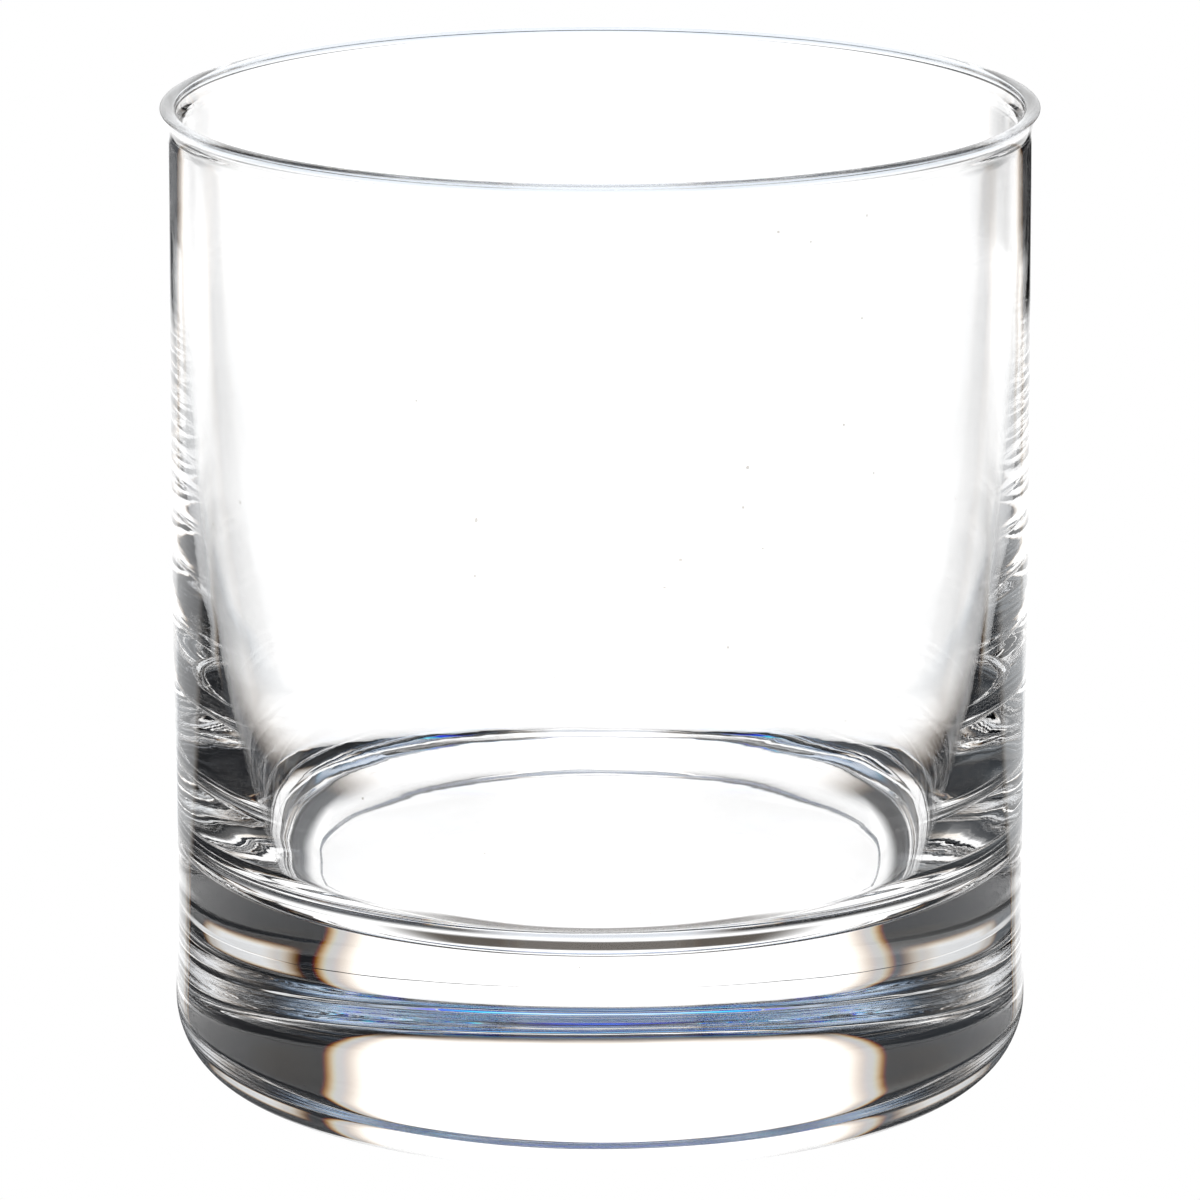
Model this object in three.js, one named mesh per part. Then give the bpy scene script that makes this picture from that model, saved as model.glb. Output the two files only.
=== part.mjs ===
// Whiskey tumbler: one piece of clear glass, with a thin, almost straight wall on a heavy solid base.
// Millimetres, +Z up. The origin is the middle of the resting plane, and +Z is the axis of the glass.
import * as THREE from "three";

// Driving dimensions
const height = 97.3;
const rimRadius = 43.0; // outside of the rounded lip
const lipHalfWidth = 0.7; // the lip is rounded over, with a flat top
const lipHalfHeight = 0.3;
const lipBandHeight = 2.4; // height of the lip and the small neck under it
const neckRadius = 42.2; // outside of the wall just under the lip
const bellyRadius = 42.5; // outside of the wall at mid height
const waistRadius = 42.27; // outside of the glass level with the cavity floor
const footRadius = 42.57; // widest part of the base
const footHeight = 7.5; // height of the widest part above the table
const heelReach = 6.0; // how far the rounding between the side and the resting face reaches inward
const heelRise = 7.0; // how far that rounding reaches up

const floorHeight = 20.35; // thickness of the solid glass under the cavity
const cornerRise = 5.46; // height of the rounding between the cavity floor and the inner wall
const flareHeight = 2.6; // height under the lip over which the inner wall opens out to meet it
const neckWallThickness = 1.4; // wall under the lip
const cornerWallThickness = 6.23; // wall just above the rounded corner of the floor
const taperPower = 3.16; // how quickly the wall thickens towards the floor

const restInnerRadius = 33.4; // inner edge of the flat ring that the glass stands on
const puntStepWidth = 0.9; // width of the soft step inside that ring
const puntStepHeight = 0.35; // height of the step
const puntCentreHeight = 0.7; // height of the hollow at the middle of the underside

const turnSegments = 96;

// Derived sizes
const lipCentreRadius = rimRadius - lipHalfWidth;
const lipCentreHeight = height - lipHalfHeight;
const neckHeight = height - lipBandHeight;
const flareBottom = height - flareHeight;
const cornerTop = floorHeight + cornerRise;
const wallLean = Math.atan(((cornerWallThickness - neckWallThickness) * taperPower) / (neckHeight - cornerTop));
const cornerRadius = cornerRise / (1 - Math.sin(wallLean));

// Points of an arc in the (radius, height) plane, both ends included. Angles in degrees, 0 is outward.
function arcPoints(centre, halfWidth, halfHeight, startDegrees, endDegrees, steps) {
  const points = [];
  for (let step = 0; step <= steps; step += 1) {
    const angle = THREE.MathUtils.degToRad(THREE.MathUtils.lerp(startDegrees, endDegrees, step / steps));
    const radius = centre.x + halfWidth * Math.cos(angle);
    const z = centre.y + halfHeight * Math.sin(angle);
    points.push(new THREE.Vector2(radius, z));
  }
  return points;
}

// Outside of the glass, from the widest part of the base up to the neck.
function outerWallPoints(steps) {
  const curve = new THREE.SplineCurve([
    new THREE.Vector2(footRadius, footHeight),
    new THREE.Vector2(waistRadius, floorHeight),
    new THREE.Vector2(bellyRadius, height / 2),
    new THREE.Vector2(neckRadius, neckHeight),
  ]);
  return curve.getPoints(steps);
}

// Wall thickness at a height: thin at the top, and thicker and thicker towards the floor.
function wallThickness(z) {
  const depth = Math.max(0, (neckHeight - z) / (neckHeight - cornerTop));
  return neckWallThickness + (cornerWallThickness - neckWallThickness) * depth ** taperPower;
}

// Inside radius of the wall at a height. Near the top it opens out to meet the lip.
function innerRadius(z) {
  const outside = THREE.MathUtils.mapLinear(z, floorHeight, neckHeight, waistRadius, neckRadius);
  const flare = THREE.MathUtils.smoothstep(z, flareBottom, lipCentreHeight);
  return THREE.MathUtils.lerp(outside - wallThickness(z), rimRadius - 2 * lipHalfWidth, flare);
}

// Inside of the wall, from the lip down to the rounded corner of the floor.
function innerWallPoints(flareSteps, wallSteps) {
  const heights = [];
  for (let step = 1; step <= flareSteps; step += 1) {
    heights.push(THREE.MathUtils.lerp(lipCentreHeight, flareBottom, step / flareSteps));
  }
  for (let step = 1; step <= wallSteps; step += 1) {
    heights.push(THREE.MathUtils.lerp(flareBottom, cornerTop, step / wallSteps));
  }
  return heights.map((z) => new THREE.Vector2(innerRadius(z), z));
}

// Closed profile of the glass, from the axis under the base round to the axis on the cavity floor.
function glassProfile() {
  const heelCentre = new THREE.Vector2(footRadius - heelReach, heelRise);
  const heel = arcPoints(heelCentre, heelReach, heelRise, -90, 0, 6);
  const lipCentre = new THREE.Vector2(lipCentreRadius, lipCentreHeight);
  const lip = arcPoints(lipCentre, lipHalfWidth, lipHalfHeight, -45, 180, 10);
  const leanDegrees = THREE.MathUtils.radToDeg(wallLean);
  const cornerStart = innerRadius(cornerTop) - cornerRadius * Math.cos(wallLean);
  const cornerCentre = new THREE.Vector2(cornerStart, floorHeight + cornerRadius);
  const corner = arcPoints(cornerCentre, cornerRadius, cornerRadius, -leanDegrees, -90, 6);
  return [
    new THREE.Vector2(0, puntCentreHeight),
    new THREE.Vector2(restInnerRadius - puntStepWidth, puntStepHeight),
    new THREE.Vector2(restInnerRadius, 0),
    ...heel,
    ...outerWallPoints(10),
    ...lip,
    ...innerWallPoints(3, 9),
    ...corner.slice(1),
    new THREE.Vector2(0, floorHeight),
  ];
}

function glassBody() {
  const geometry = new THREE.LatheGeometry(glassProfile(), turnSegments);
  geometry.rotateX(Math.PI / 2); // the lathe turns about Y, and the glass stands along Z
  const material = new THREE.MeshStandardMaterial({ color: 0xeef2f3, roughness: 0.03, metalness: 0 });
  const mesh = new THREE.Mesh(geometry, material);
  mesh.name = "glass_body";
  return mesh;
}

const tumbler = new THREE.Group();
tumbler.add(glassBody());

export default tumbler;
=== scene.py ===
import math
import bmesh
import bpy
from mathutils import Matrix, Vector, noise


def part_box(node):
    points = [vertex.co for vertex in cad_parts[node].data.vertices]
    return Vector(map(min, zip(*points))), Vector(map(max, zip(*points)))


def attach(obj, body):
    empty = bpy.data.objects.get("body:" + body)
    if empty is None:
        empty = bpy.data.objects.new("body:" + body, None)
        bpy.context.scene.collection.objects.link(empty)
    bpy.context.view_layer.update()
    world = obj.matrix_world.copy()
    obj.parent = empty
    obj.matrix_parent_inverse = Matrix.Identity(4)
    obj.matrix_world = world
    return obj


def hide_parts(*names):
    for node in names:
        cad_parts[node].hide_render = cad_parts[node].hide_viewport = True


# Whiskey tumbler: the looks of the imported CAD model. Metres, +Z up, the axis of the glass on Z.

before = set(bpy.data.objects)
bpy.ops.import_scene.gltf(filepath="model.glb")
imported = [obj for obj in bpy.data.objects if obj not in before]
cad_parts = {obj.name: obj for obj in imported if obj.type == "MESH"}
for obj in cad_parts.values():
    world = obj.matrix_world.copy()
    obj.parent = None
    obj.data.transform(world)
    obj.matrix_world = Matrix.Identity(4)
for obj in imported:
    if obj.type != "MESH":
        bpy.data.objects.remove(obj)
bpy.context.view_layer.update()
glass_low, glass_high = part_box("glass_body")

MM = 0.001

# Driving sizes of the glass. The height and the width come from the frame.
HEIGHT = glass_high.z
RIM_RADIUS = glass_high.x
LIP_HALF_WIDTH = 0.7 * MM
LIP_HALF_HEIGHT = 0.3 * MM
LIP_BAND_HEIGHT = 2.4 * MM
LIP_START_ANGLE = -45
NECK_RADIUS = RIM_RADIUS - 0.8 * MM
BELLY_RADIUS = RIM_RADIUS - 0.5 * MM
WAIST_RADIUS = RIM_RADIUS - 0.73 * MM
FOOT_RADIUS = RIM_RADIUS - 0.43 * MM
FOOT_HEIGHT = 7.5 * MM
HEEL_REACH = 6.0 * MM
HEEL_RISE = 7.0 * MM
FLOOR_HEIGHT = 20.35 * MM
CORNER_RISE = 5.46 * MM
FLARE_HEIGHT = 2.6 * MM
NECK_WALL_THICKNESS = 1.4 * MM
CORNER_WALL_THICKNESS = 6.23 * MM
TAPER_POWER = 3.16
REST_INNER_RADIUS = 33.4 * MM
PUNT_STEP_WIDTH = 0.9 * MM
PUNT_STEP_HEIGHT = 0.35 * MM
PUNT_CENTRE_HEIGHT = 0.7 * MM

# Derived sizes.
LIP_CENTRE_HEIGHT = HEIGHT - LIP_HALF_HEIGHT
NECK_HEIGHT = HEIGHT - LIP_BAND_HEIGHT
CORNER_TOP = FLOOR_HEIGHT + CORNER_RISE
WALL_GAIN = CORNER_WALL_THICKNESS - NECK_WALL_THICKNESS
WALL_LEAN = math.atan(WALL_GAIN * TAPER_POWER / (NECK_HEIGHT - CORNER_TOP))
CORNER_RADIUS = CORNER_RISE / (1 - math.sin(WALL_LEAN))

# Fineness of the mesh: pieces along each stretch of the outline, and round the turn.
HOLLOW_STEPS = 30
PUNT_STEPS = 8
HEEL_STEPS = 36
OUTER_WALL_STEPS = 90
LIP_STEPS = 40
INNER_WALL_STEPS = 100
CORNER_STEPS = 36
TURN_SEGMENTS = 280
AXIS_TOLERANCE = 1e-7

# Faint waves left by forming: low rings that run round the glass, and longer swells under them.
# Each scale says how quickly a wave changes over the level and over the height.
RING_WAVE = 0.010 * MM
RING_LEVEL_SCALE = 35
RING_HEIGHT_SCALE = 210
SWELL_WAVE = 0.016 * MM
SWELL_LEVEL_SCALE = 60
SWELL_HEIGHT_SCALE = 75
RADIUS_SHIFT = 1500  # gives the inside and the outside of the wall different waves
LEVEL_SHARE = 0.4  # how strong the waves are on the level faces
CALM_UNDER_TOP = 6 * MM  # the waves fade out from here up to the neck
CALM_FOOT = 3 * MM  # and from here down to the table
LEVEL_WITHIN = REST_INNER_RADIUS - 2 * MM
UPRIGHT_BEYOND = REST_INNER_RADIUS + 1 * MM

# The camera stands at this azimuth round the glass, and the sheets and cards are placed from it.
# Distances in metres, angles in degrees, focal length and sensor width in millimetres.
VIEW_AZIMUTH = 45.0
CAMERA_DISTANCE = 0.730
CAMERA_HEIGHT = 0.2320
CAMERA_PITCH = 14.225
FOCAL_LENGTH = 227.3
SENSOR_WIDTH = 36.0


# ---------------------------------------------------------------- shape of the glass

def arc(centre, half_width, half_height, start, end, steps):
    """Points of an arc in the (radius, height) plane. Angles are in degrees, and 0 points outward."""
    points = []
    for step in range(steps + 1):
        angle = math.radians(start + (end - start) * step / steps)
        points.append((centre[0] + half_width * math.cos(angle), centre[1] + half_height * math.sin(angle)))
    return points


def spline_point(before, start, end, after, t):
    """Point at share t of the way from start to end on a Catmull-Rom spline."""
    entry = [(e - b) / 2 for b, e in zip(before, end)]
    leave = [(a - s) / 2 for s, a in zip(start, after)]
    return tuple(
        (2 * s - 2 * e + i + o) * t ** 3 + (3 * e - 3 * s - 2 * i - o) * t ** 2 + i * t + s
        for s, e, i, o in zip(start, end, entry, leave)
    )


def spline(points, steps):
    """Smooth curve through the points."""
    last = len(points) - 1
    curve = []
    for step in range(steps + 1):
        place = last * step / steps
        index = min(int(place), last - 1)
        before = points[max(index - 1, 0)]
        after = points[min(index + 2, last)]
        curve.append(spline_point(before, points[index], points[index + 1], after, place - index))
    return curve


def lerp(low, high, share):
    """Value at this share of the way from low to high."""
    return low + (high - low) * share


def smooth(value, low, high):
    """0 below low, 1 above high, with a smooth rise between them."""
    share = min(1.0, max(0.0, (value - low) / (high - low)))
    return share * share * (3 - 2 * share)


def inner_radius(z):
    """Inside of the wall: it thickens towards the floor, and near the top it opens out to meet the lip."""
    outside = lerp(WAIST_RADIUS, NECK_RADIUS, (z - FLOOR_HEIGHT) / (NECK_HEIGHT - FLOOR_HEIGHT))
    depth = max(0.0, (NECK_HEIGHT - z) / (NECK_HEIGHT - CORNER_TOP))
    plain = outside - NECK_WALL_THICKNESS - WALL_GAIN * depth ** TAPER_POWER
    flare = smooth(z, HEIGHT - FLARE_HEIGHT, LIP_CENTRE_HEIGHT)
    return lerp(plain, RIM_RADIUS - 2 * LIP_HALF_WIDTH, flare)


def underside():
    """From the axis out over the shallow hollow and the soft step to the ring that the glass stands on."""
    edge = REST_INNER_RADIUS - PUNT_STEP_WIDTH
    points = []
    for step in range(HOLLOW_STEPS + 1):
        share = step / HOLLOW_STEPS
        points.append((edge * share, lerp(PUNT_CENTRE_HEIGHT, PUNT_STEP_HEIGHT, share ** 2)))
    for step in range(1, PUNT_STEPS + 1):
        share = step / PUNT_STEPS
        points.append((edge + PUNT_STEP_WIDTH * share, PUNT_STEP_HEIGHT * (1 - smooth(share, 0, 1))))
    return points


def heel():
    """The rounding between the resting ring and the side."""
    centre = (FOOT_RADIUS - HEEL_REACH, HEEL_RISE)
    return arc(centre, HEEL_REACH, HEEL_RISE, -90, 0, HEEL_STEPS)


def outer_wall():
    """From the widest part of the base up to the neck."""
    return spline([
        (FOOT_RADIUS, FOOT_HEIGHT),
        (WAIST_RADIUS, FLOOR_HEIGHT),
        (BELLY_RADIUS, HEIGHT / 2),
        (NECK_RADIUS, NECK_HEIGHT),
    ], OUTER_WALL_STEPS)


def lip():
    """Over the lip, from just above the neck to the inside."""
    centre = (RIM_RADIUS - LIP_HALF_WIDTH, LIP_CENTRE_HEIGHT)
    return arc(centre, LIP_HALF_WIDTH, LIP_HALF_HEIGHT, LIP_START_ANGLE, 180, LIP_STEPS)


def inner_wall():
    """From the lip down to the rounded corner of the floor, with the points closest together at both ends."""
    points = []
    for step in range(1, INNER_WALL_STEPS + 1):
        z = lerp(LIP_CENTRE_HEIGHT, CORNER_TOP, smooth(step, 0, INNER_WALL_STEPS))
        points.append((inner_radius(z), z))
    return points


def cavity_floor():
    """Down the rounded corner, and over the flat floor to the axis."""
    start = inner_radius(CORNER_TOP) - CORNER_RADIUS * math.cos(WALL_LEAN)
    centre = (start, FLOOR_HEIGHT + CORNER_RADIUS)
    corner = arc(centre, CORNER_RADIUS, CORNER_RADIUS, -math.degrees(WALL_LEAN), -90, CORNER_STEPS)
    return corner[1:] + [(start * share, FLOOR_HEIGHT) for share in (0.6, 0.3, 0.0)]


def glass_profile():
    """From the axis under the base round the outside, over the lip and down the inside to the axis."""
    return underside() + heel() + outer_wall() + lip() + inner_wall() + cavity_floor()


def wave(x, y, z, shift):
    """Height of the waves at a point. Another shift gives another pattern."""
    ring_place = Vector((x * RING_LEVEL_SCALE, y * RING_LEVEL_SCALE, z * RING_HEIGHT_SCALE + shift))
    swell_place = Vector((x * SWELL_LEVEL_SCALE, y * SWELL_LEVEL_SCALE, z * SWELL_HEIGHT_SCALE - shift))
    return RING_WAVE * noise.noise(ring_place) + SWELL_WAVE * noise.noise(swell_place)


def waved(radius, height, angle):
    """The point at this angle, moved in or out on the walls and up or down on the level faces."""
    x = radius * math.cos(angle)
    y = radius * math.sin(angle)
    shift = wave(x, y, height, RADIUS_SHIFT * radius)
    below_lip = 1 - smooth(height, HEIGHT - CALM_UNDER_TOP, NECK_HEIGHT)
    upright = smooth(radius, LEVEL_WITHIN, UPRIGHT_BEYOND)
    raised = smooth(height, 0, CALM_FOOT)
    grow = 1 + shift * upright * below_lip * raised / radius
    return x * grow, y * grow, height + shift * (1 - upright) * LEVEL_SHARE


def glass_mesh():
    """The outline turned round the axis, with the waves in it."""
    mesh = bpy.data.meshes.new("glass_body_fine")
    build = bmesh.new()
    rings = []
    for radius, height in glass_profile():
        if radius < AXIS_TOLERANCE:
            rings.append([build.verts.new((0, 0, height))])
            continue
        ring = []
        for turn in range(TURN_SEGMENTS):
            angle = 2 * math.pi * turn / TURN_SEGMENTS
            ring.append(build.verts.new(waved(radius, height, angle)))
        rings.append(ring)
    for low, high in zip(rings, rings[1:]):
        for turn in range(TURN_SEGMENTS):
            after = (turn + 1) % TURN_SEGMENTS
            if len(low) == 1:
                build.faces.new((low[0], high[after], high[turn]))
            elif len(high) == 1:
                build.faces.new((low[turn], low[after], high[0]))
            else:
                build.faces.new((low[turn], low[after], high[after], high[turn]))
    bmesh.ops.recalc_face_normals(build, faces=build.faces)
    for face in build.faces:
        face.smooth = True
    build.to_mesh(mesh)
    build.free()
    return mesh


# ---------------------------------------------------------------- node helpers

class Graph:
    """Short ways to add nodes to a node tree. Every method but feed returns an output socket.

    A share is a number from 0 to 1, or three of them, one each for red, green and blue.
    """

    def __init__(self, tree):
        self.nodes = tree.nodes
        self.links = tree.links

    def feed(self, socket, source):
        """Link a socket to the source, or set it where the source is a plain value."""
        if isinstance(source, bpy.types.NodeSocket):
            self.links.new(source, socket)
        else:
            socket.default_value = source

    def math(self, operation, *sources):
        node = self.nodes.new("ShaderNodeMath")
        node.operation = operation
        for socket, source in zip(node.inputs, sources):
            self.feed(socket, source)
        return node.outputs[0]

    def product(self, first, second):
        return self.math("MULTIPLY", first, second)

    def inverse(self, share):
        """1 where the share is 0, and 0 where it is 1."""
        return self.math("SUBTRACT", 1.0, share)

    def dot(self, vector, direction):
        node = self.nodes.new("ShaderNodeVectorMath")
        node.operation = "DOT_PRODUCT"
        self.feed(node.inputs[0], vector)
        node.inputs[1].default_value = direction
        return node.outputs["Value"]

    def length(self, first, second):
        """Length of a level vector, from its two parts. It is never quite 0."""
        squares = self.math("ADD", self.product(first, first), self.product(second, second))
        return self.math("SQRT", self.math("MAXIMUM", squares, 1e-8))

    def step(self, value, start, end):
        """0 at start, 1 at end, smooth between them and level beyond. start may be the larger one."""
        node = self.nodes.new("ShaderNodeMapRange")
        node.interpolation_type = "SMOOTHSTEP"
        self.feed(node.inputs["Value"], value)
        node.inputs["From Min"].default_value = min(start, end)
        node.inputs["From Max"].default_value = max(start, end)
        rising = node.outputs["Result"]
        return rising if start < end else self.inverse(rising)

    def noise(self, vector, scale, detail):
        node = self.nodes.new("ShaderNodeTexNoise")
        node.inputs["Scale"].default_value = scale
        node.inputs["Detail"].default_value = detail
        self.feed(node.inputs["Vector"], vector)
        return node.outputs[0]

    def combine(self, red, green, blue):
        node = self.nodes.new("ShaderNodeCombineXYZ")
        for socket, source in zip(node.inputs, (red, green, blue)):
            self.feed(socket, source)
        return node.outputs[0]

    def blend(self, share, low, high):
        """low where the share is 0, high where it is 1, and a mixture between."""
        node = self.nodes.new("ShaderNodeMix")
        node.data_type = "VECTOR"
        node.factor_mode = "NON_UNIFORM"
        factor = next(s for s in node.inputs if s.name == "Factor" and s.type == "VECTOR")
        low_socket = next(s for s in node.inputs if s.name == "A" and s.type == "VECTOR")
        high_socket = next(s for s in node.inputs if s.name == "B" and s.type == "VECTOR")
        self.feed(factor, share)
        self.feed(low_socket, low)
        self.feed(high_socket, high)
        return next(s for s in node.outputs if s.type == "VECTOR")

    def within(self, share, inside):
        """The three shares inside, kept where the first share is 1 and faded to 0 where it is 0."""
        return self.blend(share, (0, 0, 0), inside)

    def is_camera_ray(self):
        return self.nodes.new("ShaderNodeLightPath").outputs["Is Camera Ray"]


def heading(relative):
    """Level direction at an angle, in degrees clockwise from where the camera looks."""
    angle = math.radians(VIEW_AZIMUTH - relative)
    return Vector((-math.sin(angle), math.cos(angle), 0))


def sine(degrees):
    return math.sin(math.radians(degrees))


def cosine(degrees):
    return math.cos(math.radians(degrees))


# ---------------------------------------------------------------- studio

# White sheets stand behind the glass and behind the camera, and white paper lies under the glass and runs
# out to them. Dark cards shade the sides, and a wide pale light hangs over them. Two narrow pale strips
# with a low sheet at their end brighten the views from the sides. Only the glass sees all this: the
# camera sees plain white behind the glass and under it.
WHITE = (1.0, 1.0, 1.0)
SHEET = (1.30, 1.30, 1.30)
SHEET_EDGE = (0.62, 0.61, 0.60)
PAPER = (1.30, 1.30, 1.30)
SIDE_PAPER = (0.82, 0.83, 0.84)
LEFT_CARD = (0.022, 0.025, 0.029)
RIGHT_CARD = (0.010, 0.011, 0.013)
LEFT_ROOM = (0.150, 0.165, 0.180)
OVERHEAD = (0.82, 0.92, 1.06)
OVERHEAD_AHEAD = (0.26, 0.32, 0.40)
OVERHEAD_CARD = (0.020, 0.022, 0.028)
# Colours of the glowing floor, painted shade round the glass: next to the heel, a crescent, and the table
# near and far.
UNDER_HEEL = (0.70, 0.74, 0.80)
CRESCENT = (0.13, 0.115, 0.10)
NEAR_LEFT = (0.075, 0.080, 0.087)
NEAR_RIGHT = (0.012, 0.012, 0.013)
FAR_LEFT = (0.45, 0.46, 0.47)
FAR_RIGHT = (0.24, 0.25, 0.27)

# Elevations in degrees: each edge is soft by this much to both sides.
ROOM_TOP = 13
ROOM_SOFTNESS = 5
OVERHEAD_EDGE = 46
OVERHEAD_SOFTNESS = 5

# Relative heading, half width, softness, top and softness of the top of each white sheet, in degrees,
# and its brightness. A rim along the sides of each sheet is greyer.
SHEETS = (
    (-0.7, 29.6, 1.0, 33, 5, SHEET),
    (180, 26, 1.5, 31, 4, SHEET),
    (-45, 11, 2, 9, 2, SIDE_PAPER),
    (45, 11, 2, 9, 2, SIDE_PAPER),
)
SHEET_RIM = 4
SHEET_RIM_SOFTNESS = 2
FRINGE = 0.35  # how far the edges in red and in blue lie to either side of the edge in green

# From here on each edge is a pair: where it begins, and where it is complete.
# These are cosines of the angle from a heading.
LEFT_TO_RIGHT = (-0.4, 0.4)
OVERHEAD_AHEAD_FADE = (0.0, 0.4)
OVERHEAD_CARD_SIDES = (0.75, 0.50)
FAR_TABLE_SIDES = (0.83, 0.70)
CRESCENT_SIDES = (0.5, 0.8)
# The back edge of the overhead card begins at these places in red, green and blue.
OVERHEAD_CARD_BACK = (-0.38, -0.33, -0.24)
OVERHEAD_CARD_SOFTNESS = 0.07

# Floor: half widths of the strips of paper in degrees, and distances in metres.
FLOOR_REACH = 3.0
FLOOR_DROP = 0.05 * MM
PAPER_HALF_WIDTH = 44
PAPER_BACK_HALF_WIDTH = 24
PAPER_SOFTNESS = 8
PAPER_LEFT = (-160 * MM, -100 * MM)
PAPER_RIGHT = (140 * MM, 80 * MM)
SIDE_PAPER_HALF_WIDTH = 11
SIDE_PAPER_SOFTNESS = 3
SIDE_PAPER_START = (75 * MM, 110 * MM)
SIDE_PAPER_BRIGHT = (250 * MM, 450 * MM)
FAR_TABLE = (120 * MM, 240 * MM)
HEEL_SHADE = (45 * MM, 60 * MM)
POOL_RIM = (40 * MM, 35 * MM)
CRESCENT_INNER = (19 * MM, 23 * MM)
CRESCENT_OUTER = (35 * MM, 32 * MM)
POLISH_INNER = (48 * MM, 56 * MM)
POLISH_OUTER = (390 * MM, 360 * MM)
POLISH_SLANT = (0.50, 0.60)  # on the Facing scale of Layer Weight: 0 straight down, 1 along the floor


def band(graph, rise, edge, softness):
    """1 above an elevation, with an edge that is a little higher in red than in blue."""
    channels = []
    for offset in (FRINGE, 0.0, -FRINGE):
        channels.append(graph.step(rise, sine(edge - softness + offset), sine(edge + softness + offset)))
    return graph.combine(*channels)


def sector(graph, facing, half_width, softness):
    """1 inside half_width degrees of a heading, with an edge that is a little wider in red than in blue."""
    channels = []
    for offset in (FRINGE, 0.0, -FRINGE):
        outer = cosine(half_width + softness + offset)
        inner = cosine(half_width - softness + offset)
        channels.append(graph.step(facing, outer, inner))
    return graph.combine(*channels)


class Around:
    """Parts of a vector along the headings: of a direction in the world, or of a place on the floor."""

    def __init__(self, graph, vector):
        self.graph = graph
        self.vector = vector
        self.ahead = graph.dot(vector, heading(0))
        self.right = graph.dot(vector, heading(90))
        self.distance = graph.length(self.ahead, self.right)

    def facing(self, relative):
        """Cosine of the level angle between the vector and a heading."""
        return self.graph.math("DIVIDE", self.graph.dot(self.vector, heading(relative)), self.distance)


def overhead_light(graph, around):
    """A pale light, dimmer ahead, with a dark card under it that reaches forward from behind the zenith."""
    light = graph.blend(graph.step(around.ahead, *OVERHEAD_AHEAD_FADE), OVERHEAD, OVERHEAD_AHEAD)
    backs = [graph.step(around.ahead, start, start + OVERHEAD_CARD_SOFTNESS) for start in OVERHEAD_CARD_BACK]
    narrow = graph.step(graph.math("ABSOLUTE", around.right), *OVERHEAD_CARD_SIDES)
    card = graph.within(graph.combine(*backs), graph.combine(narrow, narrow, narrow))
    return graph.blend(card, light, OVERHEAD_CARD)


def build_world():
    world = bpy.data.worlds.new("studio")
    bpy.context.scene.world = world
    world.use_nodes = True
    graph = Graph(world.node_tree)
    direction = graph.nodes.new("ShaderNodeTexCoord").outputs["Generated"]
    rise = graph.dot(direction, (0, 0, 1))
    around = Around(graph, direction)

    left = graph.blend(band(graph, rise, ROOM_TOP, ROOM_SOFTNESS), LEFT_ROOM, LEFT_CARD)
    colour = graph.blend(graph.step(around.facing(90), *LEFT_TO_RIGHT), left, RIGHT_CARD)
    above = band(graph, rise, OVERHEAD_EDGE, OVERHEAD_SOFTNESS)
    colour = graph.blend(above, colour, overhead_light(graph, around))
    for relative, half_width, softness, top, top_softness, brightness in SHEETS:
        facing = around.facing(relative)
        inside = sector(graph, facing, half_width, softness)
        inside = graph.blend(band(graph, rise, top, top_softness), inside, (0, 0, 0))
        middle = sector(graph, facing, half_width - SHEET_RIM, SHEET_RIM_SOFTNESS)
        colour = graph.blend(inside, colour, graph.blend(middle, SHEET_EDGE, brightness))
    colour = graph.blend(graph.is_camera_ray(), colour, WHITE)
    graph.feed(graph.nodes["Background"].inputs["Color"], colour)


def table_colour(graph, around):
    """The shaded table round the glass: darker on the right, and lighter far away, but not straight ahead."""
    side = graph.step(around.facing(90), *LEFT_TO_RIGHT)
    near = graph.blend(side, NEAR_LEFT, NEAR_RIGHT)
    far = graph.blend(side, FAR_LEFT, FAR_RIGHT)
    distant = graph.step(around.distance, *FAR_TABLE)
    distant = graph.product(distant, graph.step(around.facing(0), *FAR_TABLE_SIDES))
    return graph.blend(distant, near, far)


def with_paper(graph, around, colour):
    """White paper ahead and, narrower and shaded next to the heel, on the camera's side."""
    strip = graph.product(graph.step(around.right, *PAPER_LEFT), graph.step(around.right, *PAPER_RIGHT))
    ahead = sector(graph, around.facing(0), PAPER_HALF_WIDTH, PAPER_SOFTNESS)
    colour = graph.blend(graph.within(strip, ahead), colour, PAPER)
    back = sector(graph, around.facing(180), PAPER_BACK_HALF_WIDTH, PAPER_SOFTNESS)
    shaded = graph.blend(graph.step(around.distance, *HEEL_SHADE), UNDER_HEEL, PAPER)
    return graph.blend(graph.within(strip, back), colour, shaded)


def with_pool(graph, around, colour):
    """White paper under the glass, with a shaded crescent on the camera's side."""
    colour = graph.blend(graph.step(around.distance, *POOL_RIM), colour, PAPER)
    crescent = graph.step(around.distance, *CRESCENT_INNER)
    crescent = graph.product(crescent, graph.step(around.distance, *CRESCENT_OUTER))
    crescent = graph.product(crescent, graph.step(around.facing(180), *CRESCENT_SIDES))
    return graph.blend(crescent, colour, CRESCENT)


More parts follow.
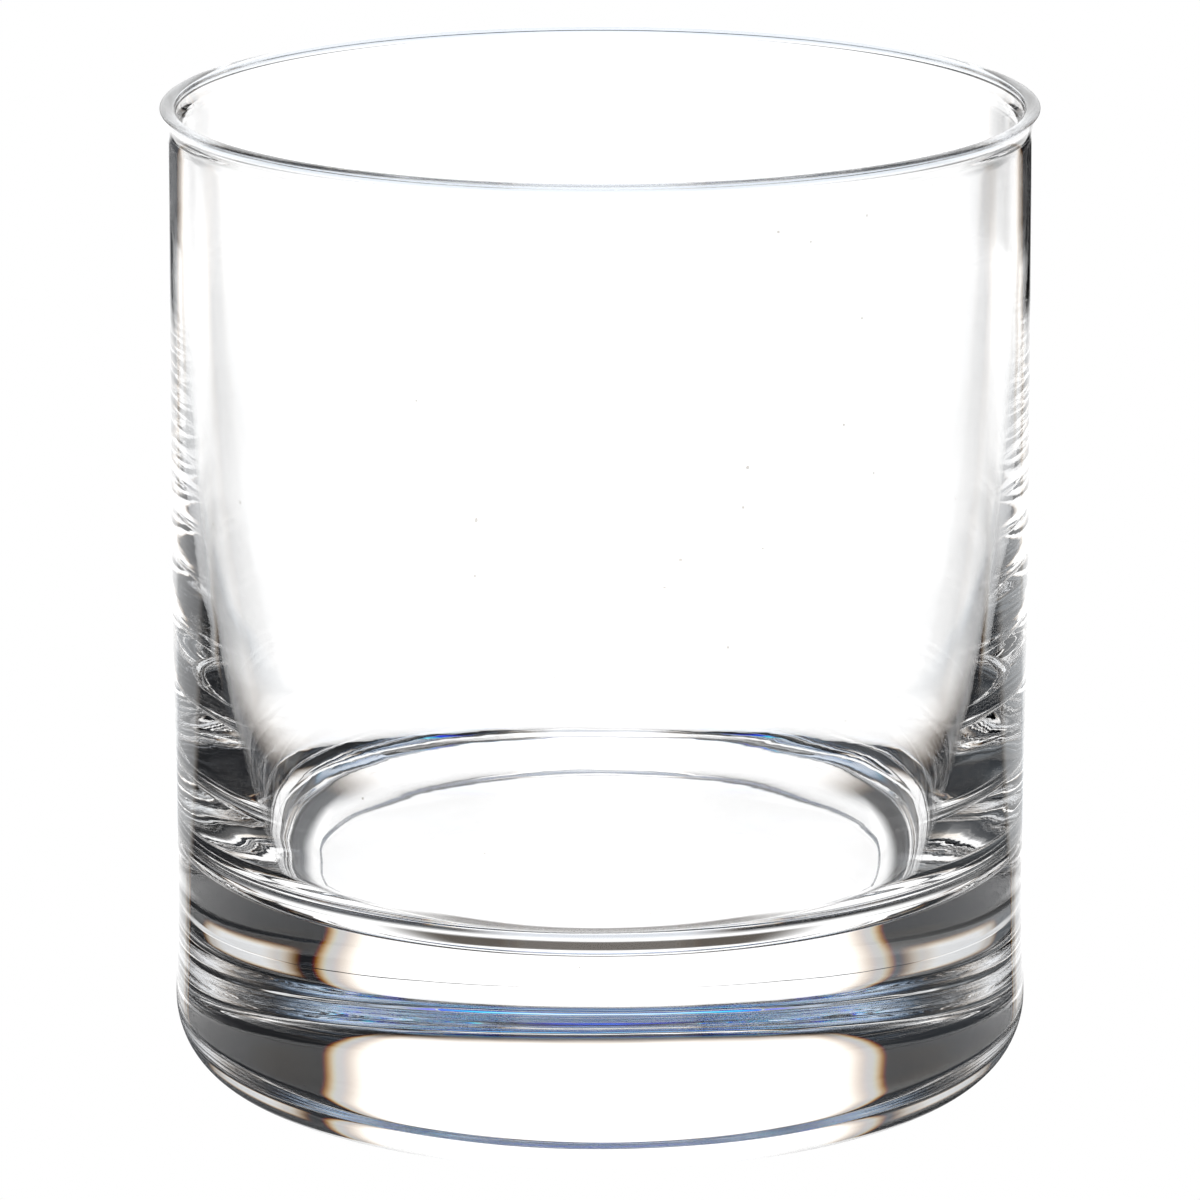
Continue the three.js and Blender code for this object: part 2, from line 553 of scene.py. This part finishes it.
def floor_material():
    material = bpy.data.materials.new("studio_floor")
    material.use_nodes = True
    tree = material.node_tree
    tree.nodes.clear()
    graph = Graph(tree)
    around = Around(graph, graph.nodes.new("ShaderNodeTexCoord").outputs["Object"])
    colour = with_paper(graph, around, table_colour(graph, around))

    # Two matt strips of paper run out to the two low sheets.
    beyond = graph.step(around.distance, *SIDE_PAPER_START)
    paper = graph.blend(graph.step(around.distance, *SIDE_PAPER_BRIGHT), SIDE_PAPER, SHEET)
    matt = 0.0
    for relative in (-45, 45):
        inside = sector(graph, around.facing(relative), SIDE_PAPER_HALF_WIDTH, SIDE_PAPER_SOFTNESS)
        inside = graph.within(beyond, inside)
        colour = graph.blend(inside, colour, paper)
        green_share = graph.dot(inside, (0, 1, 0))
        matt = graph.math("ADD", matt, green_share)
    colour = with_pool(graph, around, colour)
    colour = graph.blend(graph.is_camera_ray(), colour, WHITE)
    # The floor glows with this colour, which is painted light and painted shade: bright paper, and darker
    # table, heel shade and crescent. The camera sees plain white.
    emission = graph.nodes.new("ShaderNodeEmission")
    graph.feed(emission.inputs["Color"], colour)

    # A polished ring round the glass mirrors the sheet and the cards, for slanting rays only.
    polish = graph.nodes.new("ShaderNodeBsdfGlossy")
    polish.inputs["Color"].default_value = (1.0, 1.0, 1.0, 1.0)
    polish.inputs["Roughness"].default_value = 0.0
    slant = graph.nodes.new("ShaderNodeLayerWeight").outputs["Facing"]
    ring = graph.step(around.distance, *POLISH_INNER)
    ring = graph.product(ring, graph.step(around.distance, *POLISH_OUTER))
    ring = graph.product(ring, graph.step(slant, *POLISH_SLANT))
    ring = graph.product(ring, graph.inverse(matt))
    ring = graph.product(ring, graph.inverse(graph.is_camera_ray()))
    surface = graph.nodes.new("ShaderNodeMixShader")
    tree.links.new(ring, surface.inputs[0])
    tree.links.new(emission.outputs[0], surface.inputs[1])
    tree.links.new(polish.outputs[0], surface.inputs[2])
    output = graph.nodes.new("ShaderNodeOutputMaterial")
    tree.links.new(surface.outputs[0], output.inputs["Surface"])
    return material


def build_floor():
    mesh = bpy.data.meshes.new("studio_floor")
    build = bmesh.new()
    bmesh.ops.create_grid(build, x_segments=1, y_segments=1, size=FLOOR_REACH)
    build.to_mesh(mesh)
    build.free()
    mesh.materials.append(floor_material())
    floor = bpy.data.objects.new("studio_floor", mesh)
    floor.location = (0, 0, glass_low.z - FLOOR_DROP)
    bpy.context.collection.objects.link(floor)


def build_camera():
    data = bpy.data.cameras.new("camera")
    data.sensor_width = SENSOR_WIDTH
    data.lens = FOCAL_LENGTH
    data.clip_start = 0.01
    data.clip_end = 20
    camera = bpy.data.objects.new("camera", data)
    pitch = math.radians(CAMERA_PITCH)
    look = heading(0) * math.cos(pitch) + Vector((0, 0, -math.sin(pitch)))
    camera.location = heading(0) * -CAMERA_DISTANCE + Vector((0, 0, CAMERA_HEIGHT))
    camera.rotation_mode = "QUATERNION"
    camera.rotation_quaternion = look.to_track_quat("-Z", "Y")
    bpy.context.collection.objects.link(camera)
    bpy.context.scene.camera = camera


# ---------------------------------------------------------------- glass

INDEX_OF_REFRACTION = 1.52
CLEAN_GLASS = (1.0, 1.0, 1.0)
SMUDGED_GLASS = (0.985, 0.987, 0.990)
# Painted shade: this colour darkens the top of the glass, over the lip heights given below.
LIP_PAINTED_SHADE = (0.70, 0.75, 0.81)  # the lip looks darker, because light is led away from it down the wall
DUST = (0.45, 0.42, 0.38)
LIP_SHADE_HEIGHTS = (HEIGHT - 1.0 * MM, HEIGHT - 0.4 * MM)
SMUDGE_SCALE = 55.0
SMUDGE_DETAIL = 4.0
SMUDGE_EDGE = (0.56, 0.74)
SMUDGE_ROUGHNESS = 0.03
DUST_SCALE = 420.0
DUST_EDGE = (0.09, 0.05)
DUST_CHOICE = (0.96, 0.97)  # a speck lies in a cell whose random red lies above this
WIPE_SCALE = 90.0
WIPE_DETAIL = 2.0
WIPE_SQUEEZE = (1.0, 1.0, 9.0)
WIPE_DEPTH = 0.002 * MM


def dust_specks(graph, place):
    """1 on a few tiny specks."""
    cells = graph.nodes.new("ShaderNodeTexVoronoi")
    cells.inputs["Scale"].default_value = DUST_SCALE
    graph.feed(cells.inputs["Vector"], place)
    channels = graph.nodes.new("ShaderNodeSeparateColor")
    graph.feed(channels.inputs[0], cells.outputs["Color"])
    speck = graph.step(cells.outputs["Distance"], *DUST_EDGE)
    return graph.product(speck, graph.step(channels.outputs[0], *DUST_CHOICE))


def wipe_marks(graph, place):
    """Bumped normal. The marks run round the glass, so their noise is squeezed along the axis."""
    squeezed = graph.nodes.new("ShaderNodeVectorMath")
    squeezed.operation = "MULTIPLY"
    graph.feed(squeezed.inputs[0], place)
    squeezed.inputs[1].default_value = WIPE_SQUEEZE
    bump = graph.nodes.new("ShaderNodeBump")
    bump.inputs["Strength"].default_value = 1.0
    bump.inputs["Distance"].default_value = WIPE_DEPTH
    graph.feed(bump.inputs["Height"], graph.noise(squeezed.outputs["Vector"], WIPE_SCALE, WIPE_DETAIL))
    return bump.outputs["Normal"]


def glass_material():
    """Clear glass with faint smudges, fine wipe marks, a few tiny specks of dust, and painted shade at the
    lip.
    """
    material = bpy.data.materials.new("clear_glass")
    material.use_nodes = True
    graph = Graph(material.node_tree)
    shader = graph.nodes["Principled BSDF"]
    shader.inputs["IOR"].default_value = INDEX_OF_REFRACTION
    shader.inputs["Transmission Weight"].default_value = 1.0
    place = graph.nodes.new("ShaderNodeTexCoord").outputs["Object"]

    smudge = graph.step(graph.noise(place, SMUDGE_SCALE, SMUDGE_DETAIL), *SMUDGE_EDGE)
    graph.feed(shader.inputs["Roughness"], graph.product(smudge, SMUDGE_ROUGHNESS))
    # Painted shade at the lip, mixed into the colour of the glass.
    lip_shade_share = graph.step(graph.dot(place, (0, 0, 1)), *LIP_SHADE_HEIGHTS)
    tone = graph.blend(smudge, CLEAN_GLASS, SMUDGED_GLASS)
    tone = graph.blend(lip_shade_share, tone, LIP_PAINTED_SHADE)
    tone = graph.blend(dust_specks(graph, place), tone, DUST)
    graph.feed(shader.inputs["Base Color"], tone)
    graph.feed(shader.inputs["Normal"], wipe_marks(graph, place))
    return material


def build_glass():
    mesh = glass_mesh()
    mesh.materials.append(glass_material())
    glass = bpy.data.objects.new("tumbler_glass", mesh)
    bpy.context.collection.objects.link(glass)
    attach(glass, "root")
    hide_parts("glass_body")


build_camera()
build_world()
build_floor()
build_glass()

MAX_BOUNCES = 32
scene = bpy.context.scene
scene.view_settings.view_transform = "Standard"
scene.cycles.max_bounces = MAX_BOUNCES
scene.cycles.transmission_bounces = MAX_BOUNCES
scene.cycles.glossy_bounces = MAX_BOUNCES
